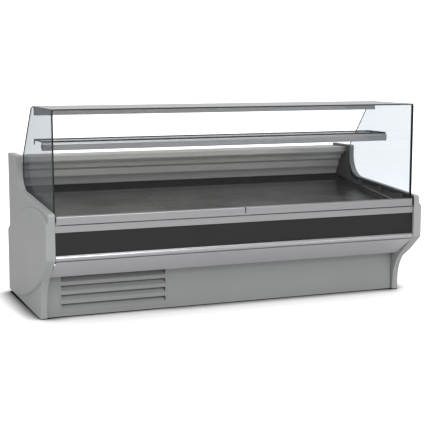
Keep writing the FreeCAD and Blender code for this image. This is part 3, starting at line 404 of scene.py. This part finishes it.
# ---- mesh helpers ---------------------------------------------------------------------------
def finished(node, width, slot=None, finish=None, flat=False, edge_material=-1):
    """Copy of a CAD node with merged corners, joined flat faces and softly rounded edges."""
    source = frame["nodes"][node]
    mesh = bpy.data.meshes.new(node + "_finished")
    shape = bmesh.new()
    shape.from_mesh(source.data)
    bmesh.ops.remove_doubles(shape, verts=shape.verts, dist=0.00001)
    bmesh.ops.dissolve_limit(shape, angle_limit=math.radians(0.4), verts=shape.verts, edges=shape.edges)
    shape.to_mesh(mesh)
    shape.free()
    piece = bpy.data.objects.new(node + "_finished", mesh)
    bpy.context.collection.objects.link(piece)
    mesh.materials.clear()
    mesh.materials.append(FINISH[finish or SLOT_OF[node]])
    mesh.polygons.foreach_set("material_index", np.zeros(len(mesh.polygons), np.int32))
    mesh.polygons.foreach_set("use_smooth", np.full(len(mesh.polygons), not flat))
    if not width and not flat:
        mesh.set_sharp_from_angle(angle=math.radians(32))
    if width:
        edge = piece.modifiers.new("rounded_edges", "BEVEL")
        edge.width = width
        edge.segments = 1 if flat else 2
        edge.material = edge_material
        edge.limit_method = "ANGLE"
        edge.angle_limit = math.radians(32)
    if width and not flat:
        piece.modifiers.new("even_normals", "WEIGHTED_NORMAL")
    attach(piece, BODY_OF[node])
    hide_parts(node)
    return piece


def surface(name, grid, body, slot, finish=None, closed_u=False, closed_v=False, caps=False):
    """Mesh from a grid of points with shape (rows, columns, 3), wrapped where asked, with end caps."""
    rows, columns = grid.shape[:2]
    index = np.arange(rows * columns).reshape(rows, columns)
    low = index if closed_u else index[:-1]
    high = np.roll(index, -1, 0) if closed_u else index[1:]
    if not closed_v:
        corners = (low[:, :-1], low[:, 1:], high[:, 1:], high[:, :-1])
    else:
        corners = (low, np.roll(low, -1, 1), np.roll(high, -1, 1), high)
    faces = np.stack(corners, -1).reshape(-1, 4).tolist()
    if caps:
        faces.append(index[0][::-1].tolist())
        faces.append(index[-1].tolist())
    mesh = bpy.data.meshes.new(name)
    mesh.from_pydata(grid.reshape(-1, 3).tolist(), [], faces)
    shape = bmesh.new()
    shape.from_mesh(mesh)
    bmesh.ops.recalc_face_normals(shape, faces=shape.faces)
    shape.to_mesh(mesh)
    shape.free()
    mesh.polygons.foreach_set("use_smooth", np.ones(len(mesh.polygons), bool))
    mesh.set_sharp_from_angle(angle=math.radians(35))
    mesh.materials.append(FINISH[finish or slot])
    piece = bpy.data.objects.new(name, mesh)
    bpy.context.collection.objects.link(piece)
    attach(piece, body)
    return piece


def rounded_section(width, height, radius, steps=4):
    """Points of a rectangle with round corners, centred, as an array of (across, up) pairs."""
    centres = np.array([(1, 1), (-1, 1), (-1, -1), (1, -1)]) * (width / 2 - radius, height / 2 - radius)
    starts = np.array([0.0, 0.5, 1.0, 1.5]) * np.pi
    angles = starts[:, None] + np.linspace(0, np.pi / 2, steps + 1)[None, :]
    ring = np.stack((np.cos(angles), np.sin(angles)), -1) * radius + centres[:, None, :]
    return ring.reshape(-1, 2)


def bar(name, start, end, width, height, radius, body, slot, finish=None):
    """Straight bar with a rounded section between two points; its section's up is as near +Z as it can be."""
    start, end = np.array(start, float), np.array(end, float)
    along = (end - start) / np.linalg.norm(end - start)
    up = np.array((0.0, 1.0, 0.0)) if abs(along[2]) > 0.9 else np.array((0.0, 0.0, 1.0))
    side = np.cross(along, up)
    side /= np.linalg.norm(side)
    up = np.cross(side, along)
    section = rounded_section(width, height, radius)
    ring = section[:, :1] * side + section[:, 1:] * up
    grid = np.stack((start + ring, end + ring))
    return surface(name, grid, body, slot, finish, closed_v=True, caps=True)


def each(nodes, width, **options):
    """Finish several CAD nodes alike."""
    return [finished(node, width, **options) for node in nodes]


def repaint(*nodes):
    """Carried-over CAD nodes keep their shape and take their finish."""
    for node in nodes:
        mesh = frame["nodes"][node].data
        mesh.materials.clear()
        mesh.materials.append(FINISH[SLOT_OF[node]])


def darken_edges(piece, across, clear_below=0.0):
    """Give the narrow faces of a glass sheet the near-black edge finish, which is painted shade; across is
    the sheet's own normal axis.

    Edges nearer the middle of the case than clear_below stay clear, as at the joint of two sheets.
    """
    mesh = piece.data
    mesh.materials.append(FINISH["shaded_glass_edge"])
    mesh.materials.append(FINISH["clear_joint"])
    normals = np.empty(len(mesh.polygons) * 3)
    centres = np.empty(len(mesh.polygons) * 3)
    mesh.polygons.foreach_get("normal", normals)
    mesh.polygons.foreach_get("center", centres)
    index = (np.abs(normals.reshape(-1, 3)[:, across]) < 0.5).astype(np.int32)
    index[(index == 1) & (np.abs(centres[0::3]) < clear_below)] = 2
    mesh.polygons.foreach_set("material_index", index)


# ---- operators ------------------------------------------------------------------------------
class DELI_OT_finishes(bpy.types.Operator):
    """Make every material of the case"""

    bl_idname = "deli.finishes"
    bl_label = "Finishes"

    def execute(self, context):
        FINISH.update(make_finishes(context.scene.deli_finishes))
        return {"FINISHED"}


class DELI_OT_ends(bpy.types.Operator):
    """Build the moulded end panels"""

    bl_idname = "deli.ends"
    bl_label = "End panels"

    def execute(self, context):
        for side in ("left", "right"):
            self.darken_inner_face(finished("end_panel_" + side, 0.0015))
        return {"FINISHED"}

    def darken_inner_face(self, panel):
        """Darker finish on the inner face of an end panel, above the front strips."""
        mesh = panel.data
        mesh.materials.append(FINISH["dark_satin"])
        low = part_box("lower_strip")[1].z
        shape = bmesh.new()
        shape.from_mesh(mesh)
        parts = shape.verts[:] + shape.edges[:] + shape.faces[:]
        bmesh.ops.bisect_plane(shape, geom=parts, plane_co=(0.0, 0.0, low), plane_no=(0.0, 0.0, 1.0))
        shape.to_mesh(mesh)
        shape.free()
        normals = np.empty(len(mesh.polygons) * 3)
        centres = np.empty(len(mesh.polygons) * 3)
        mesh.polygons.foreach_get("normal", normals)
        mesh.polygons.foreach_get("center", centres)
        x, z = centres[0::3], centres[2::3]
        darkened_faces = (normals[0::3] * np.sign(x) < -0.9) & (z > low)
        mesh.polygons.foreach_set("material_index", darkened_faces.astype(np.int32))


class DELI_OT_front_trim(bpy.types.Operator):
    """Build the bumper, infill, strips, apron and kick panel"""

    bl_idname = "deli.front_trim"
    bl_label = "Front trim"

    def execute(self, context):
        sizes = context.scene.deli_sizes
        finished("bumper", sizes.profile_edge)
        finished("front_infill", sizes.profile_edge)
        finished("lower_strip", sizes.sheet_edge)
        # painted light: the apron takes the lighter copy of the paint
        finished("apron", sizes.sheet_edge, finish="apron_grey_lit")
        finished("lower_front_panel", sizes.sheet_edge)
        finished("louvre_grille", sizes.sheet_edge)
        finished("front_sill", sizes.sheet_edge)
        return {"FINISHED"}


class DELI_OT_glass(bpy.types.Operator):
    """Build the glass, its holders, clamps and dark corner joints"""

    bl_idname = "deli.glass"
    bl_label = "Glass"

    def execute(self, context):
        sizes = context.scene.deli_sizes
        sheet = {"width": sizes.glass_edge, "flat": True, "edge_material": 1}
        for side in ("left", "right"):
            finished("glass_holder_" + side, sizes.profile_edge)
            darken_edges(finished("front_glass_" + side, sizes.glass_edge, flat=True), 1,
                         clear_below=sizes.middle_joint)
            darken_edges(finished("side_glass_" + side, finish="side_pane", **sheet), 0)
            self.corner_joint(side, sizes.seal_width)
            self.gasket(side)
        darken_edges(finished("top_glass", finish="top_pane", **sheet), 2)
        darken_edges(finished("shelf_glass", **sheet), 2)
        finished("glass_clamps", sizes.profile_edge, finish="dark_satin")
        return {"FINISHED"}

    def gasket(self, side):
        """Dark rubber lip that closes the gap under a glass holder."""
        low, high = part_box("glass_holder_" + side)
        inset, setback, drop = 0.03, 0.006, 0.0015
        width, height, rounding = 0.003, 0.004, 0.0006
        y, z = low.y + setback, low.z - drop
        bar("gasket_" + side, (low.x + inset, y, z), (high.x - inset, y, z), width, height, rounding,
            "glass_" + side, "black_rubber")

    def corner_joint(self, side, width):
        """Dark silicone bead down the front edge of a side glass, which shows through the front glass."""
        low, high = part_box("side_glass_" + side)
        x = (low.x + high.x) / 2
        y = low.y + width / 2
        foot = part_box("glass_holder_" + side)[1].z + 0.02
        over_glass, short_of_top, rounding = 0.0016, 0.001, 0.001
        bar("corner_joint_" + side, (x, y, foot), (x, y, high.z - short_of_top),
            high.x - low.x + over_glass, width, rounding, "case", "black_rubber")


class DELI_OT_shelf(bpy.types.Operator):
    """Build the light housing, the lamp and the shelf rail"""

    bl_idname = "deli.shelf"
    bl_label = "Shelf and light"

    def execute(self, context):
        sizes = context.scene.deli_sizes
        finished("top_rail", sizes.profile_edge)
        finished("shelf_rail", sizes.profile_edge)
        finished("light_tube", sizes.profile_edge)
        return {"FINISHED"}


class DELI_OT_tub(bpy.types.Operator):
    """Build the tub, the deck pans, the back wall and the worktop"""

    bl_idname = "deli.tub"
    bl_label = "Tub and worktop"

    def execute(self, context):
        sizes = context.scene.deli_sizes
        each(("back_wall_panel",), sizes.sheet_edge, finish="wall_steel_lit")
        each(("worktop",), sizes.sheet_edge)
        each(("tub_liner", "deck_pan_1", "deck_pan_2", "deck_pan_3"), sizes.sheet_edge, finish="deck_steel_shaded")
        self.outlet()
        each(("tub_body", "deck_bearers", "drain_pipe"), sizes.profile_edge)
        return {"FINISHED"}

    def outlet(self):
        """Black honeycomb strip in the slot between the deck and the back wall: a thin slab, sloping up. Its
        near-black is painted shade for the dark slot.
        """
        low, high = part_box("tub_liner")
        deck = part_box("deck_pan_1")[1]
        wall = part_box("back_wall_panel")[0]
        near = (deck.y + 0.003, deck.z - 0.022)
        far = (high.y - 0.004, wall.z - 0.003)
        ring = np.array([near, far, (far[0], far[1] - 0.012), (near[0], near[1] - 0.012)])
        ends = np.array([low.x + 0.004, high.x - 0.004])
        grid = np.concatenate((np.broadcast_to(ends[:, None, None], (2, 4, 1)),
                               np.broadcast_to(ring, (2, 4, 2))), axis=2)
        surface("outlet_and_shade", grid, "case", "fan_plastic", "outlet_and_shade", closed_v=True, caps=True)


class DELI_OT_cold_side(bpy.types.Operator):
    """Finish the evaporator and its fans"""

    bl_idname = "deli.cold_side"
    bl_label = "Cold side"

    def execute(self, context):
        sizes = context.scene.deli_sizes
        repaint("evaporator_coil")
        each(("evaporator_fan_motors", "evaporator_fan_1", "evaporator_fan_2"), sizes.sheet_edge)
        return {"FINISHED"}


class DELI_OT_machine(bpy.types.Operator):
    """Finish the base frame, the feet and the condensing unit"""

    bl_idname = "deli.machine"
    bl_label = "Machine bay"

    def execute(self, context):
        sizes = context.scene.deli_sizes
        repaint("condenser_coil")
        feet = ["levelling_foot_%d" % number for number in (1, 2, 3, 4)]
        each(feet + ["base_frame", "condensing_unit_base", "compressor", "condenser_fan_motor"],
             sizes.profile_edge)
        each(("condenser_fan", "pipework"), 0.0)
        return {"FINISHED"}


class DELI_OT_rear(bpy.types.Operator):
    """Build the rear panel, the reserve doors and the controls"""

    bl_idname = "deli.rear"
    bl_label = "Rear side"

    def execute(self, context):
        sizes = context.scene.deli_sizes
        finished("rear_panel", sizes.sheet_edge)
        each(("reserve_box", "reserve_door_1", "reserve_door_2", "hinge_brackets", "hinge_pins"),
             sizes.profile_edge)
        each(("door_seal_1", "door_seal_2"), sizes.profile_edge)
        each(("control_panel", "controller_key_1", "controller_key_2", "rocker_switch_1", "rocker_switch_2"),
             sizes.sheet_edge)
        finished("cable_gland", sizes.sheet_edge)
        finished("panel_screws", 0.0, finish="painted_grey")
        return {"FINISHED"}


class DELI_OT_stage(bpy.types.Operator):
    """Set the camera, the floor and the lights"""

    bl_idname = "deli.stage"
    bl_label = "Stage"

    def execute(self, context):
        stage = context.scene.deli_stage
        self.camera(context.scene, stage)
        self.floor(context.scene, stage)
        self.room(context.scene, stage)
        self.softbox("key", (-0.4, -6.4, 4.4), (0.0, 0.0, 0.6), 3.5, 200.0)
        self.softbox("top", (0.3, 0.6, 5.0), (0.0, 0.0, 0.8), 5.0, 130.0)
        self.softbox("strip", (3.9, -6.4, 1.6), (0.5, -0.5, 0.8), 0.8, 12.0)
        context.scene.view_settings.view_transform = "Standard"
        return {"FINISHED"}

    def camera(self, scene, stage):
        """Camera with a long lens, turned and tilted from looking along +Y."""
        data = bpy.data.cameras.new("camera")
        data.lens = stage.lens
        data.sensor_width = 36.0
        eye = bpy.data.objects.new("camera", data)
        scene.collection.objects.link(eye)
        level = math.cos(stage.tilt)
        gaze = Vector((math.sin(stage.turn) * level, math.cos(stage.turn) * level, -math.sin(stage.tilt)))
        eye.location = stage.eye
        eye.rotation_mode = "QUATERNION"
        eye.rotation_quaternion = gaze.to_track_quat("-Z", "Y")
        scene.camera = eye

    def floor(self, scene, stage):
        """Wide pale floor at z = 0, whose painted glow is brighter away from the case.

        A painted contact shadow, from ambient occlusion, darkens it where the case stands close over it, and
        it looks dim in reflections.
        """
        material, tree, shader = principled("floor", stage.floor, Roughness=0.8)
        shader.inputs["Specular IOR Level"].default_value = 0.0
        shader.inputs["Emission Color"].default_value = (1.0, 1.0, 1.0, 1.0)
        place = tree.nodes.new("ShaderNodeTexCoord")
        away = tree.nodes.new("ShaderNodeVectorMath")
        away.operation = "LENGTH"
        tree.links.new(place.outputs["Object"], away.inputs[0])
        contact_shadow_ao = tree.nodes.new("ShaderNodeAmbientOcclusion")
        contact_shadow_ao.inputs["Distance"].default_value = stage.contact_shadow_reach
        glow = tree.nodes.new("ShaderNodeMath")
        glow.operation = "MULTIPLY"
        # painted light: the floor glow rises from floor_glow near the case to 1 at 5.5 m, and the painted
        # contact shadow cuts it
        tree.links.new(spread(tree, away.outputs["Value"], stage.floor_glow, 1.0, 1.0, 5.5), glow.inputs[0])
        tree.links.new(spread(tree, contact_shadow_ao.outputs["AO"], 0.0, 1.0, 0.45, 1.0), glow.inputs[1])
        tree.links.new(glow.outputs[0], shader.inputs["Emission Strength"])
        # painted contact shadow: the ambient occlusion also darkens the floor colour near the case
        tint(tree, shader, spread(tree, contact_shadow_ao.outputs["AO"], 0.0, 1.0, 0.45, 0.90), stage.floor, 1.0)
        bump(tree, shader, pattern(tree, 30.0), 0.02, 0.0005)
        dim = tree.nodes.new("ShaderNodeBsdfDiffuse")
        dim.inputs["Color"].default_value = (*stage.floor_bounce, 1.0)
        mix = tree.nodes.new("ShaderNodeMixShader")
        tree.links.new(directly_seen(tree), mix.inputs["Fac"])
        tree.links.new(dim.outputs["BSDF"], mix.inputs[1])
        tree.links.new(shader.outputs["BSDF"], mix.inputs[2])
        tree.links.new(mix.outputs["Shader"], tree.nodes["Material Output"].inputs["Surface"])
        mesh = bpy.data.meshes.new("floor")
        reach = 60.0
        mesh.from_pydata([(-reach, -reach, 0), (reach, -reach, 0), (reach, reach, 0), (-reach, reach, 0)], [],
                         [(0, 1, 2, 3)])
        mesh.materials.append(material)
        plane = bpy.data.objects.new("floor", mesh)
        scene.collection.objects.link(plane)

    def room(self, scene, stage):
        """Even room light, and a white backdrop where the camera looks at it, straight or through glass."""
        world = bpy.data.worlds.new("room")
        world.use_nodes = True
        tree = world.node_tree
        tree.nodes.remove(tree.nodes["Background"])
        mix = tree.nodes.new("ShaderNodeMixShader")
        tree.links.new(directly_seen(tree), mix.inputs["Fac"])
        tree.links.new(self.background(tree, stage.room), mix.inputs[1])
        tree.links.new(self.background(tree, stage.backdrop), mix.inputs[2])
        tree.links.new(mix.outputs["Shader"], tree.nodes["World Output"].inputs["Surface"])
        scene.world = world

    def background(self, tree, strength):
        """Plain white background of a given strength."""
        node = tree.nodes.new("ShaderNodeBackground")
        node.inputs["Color"].default_value = (1.0, 1.0, 1.0, 1.0)
        node.inputs["Strength"].default_value = strength
        return node.outputs["Background"]

    def softbox(self, name, place, aim, size, power):
        """Square area light at a place, facing an aim point."""
        data = bpy.data.lights.new(name, "AREA")
        data.size = size
        data.energy = power
        lamp = bpy.data.objects.new(name, data)
        bpy.context.scene.collection.objects.link(lamp)
        lamp.location = place
        lamp.rotation_mode = "QUATERNION"
        lamp.rotation_quaternion = (Vector(aim) - Vector(place)).to_track_quat("-Z", "Y")


BUILD_STEPS = (
    DELI_OT_finishes, DELI_OT_ends, DELI_OT_front_trim, DELI_OT_glass, DELI_OT_shelf, DELI_OT_tub,
    DELI_OT_cold_side, DELI_OT_machine, DELI_OT_rear, DELI_OT_stage,
)


class DELI_PT_case(bpy.types.Panel):
    """Lists the settings and the build steps in the sidebar"""

    bl_label = "Deli Case"
    bl_idname = "DELI_PT_case"
    bl_space_type = "VIEW_3D"
    bl_region_type = "UI"
    bl_category = "Deli Case"

    def draw(self, context):
        for group in (context.scene.deli_finishes, context.scene.deli_sizes, context.scene.deli_stage):
            for name in group.__annotations__:
                self.layout.prop(group, name)
        for step in BUILD_STEPS:
            self.layout.operator(step.bl_idname)


GROUPS = {"deli_finishes": DeliFinishes, "deli_sizes": DeliSizes, "deli_stage": DeliStage}


def register():
    """Register the settings, operators and panel."""
    for cls in (*GROUPS.values(), *BUILD_STEPS, DELI_PT_case):
        bpy.utils.register_class(cls)
    for name, group in GROUPS.items():
        setattr(bpy.types.Scene, name, bpy.props.PointerProperty(type=group))


def unregister():
    """Undo register."""
    for name in GROUPS:
        delattr(bpy.types.Scene, name)
    for cls in (DELI_PT_case, *reversed(BUILD_STEPS), *GROUPS.values()):
        bpy.utils.unregister_class(cls)


def main():
    """Build the whole case."""
    register()
    for step in BUILD_STEPS:
        group, name = step.bl_idname.split(".")
        getattr(getattr(bpy.ops, group), name)()


if __name__ == "__main__":
    main()
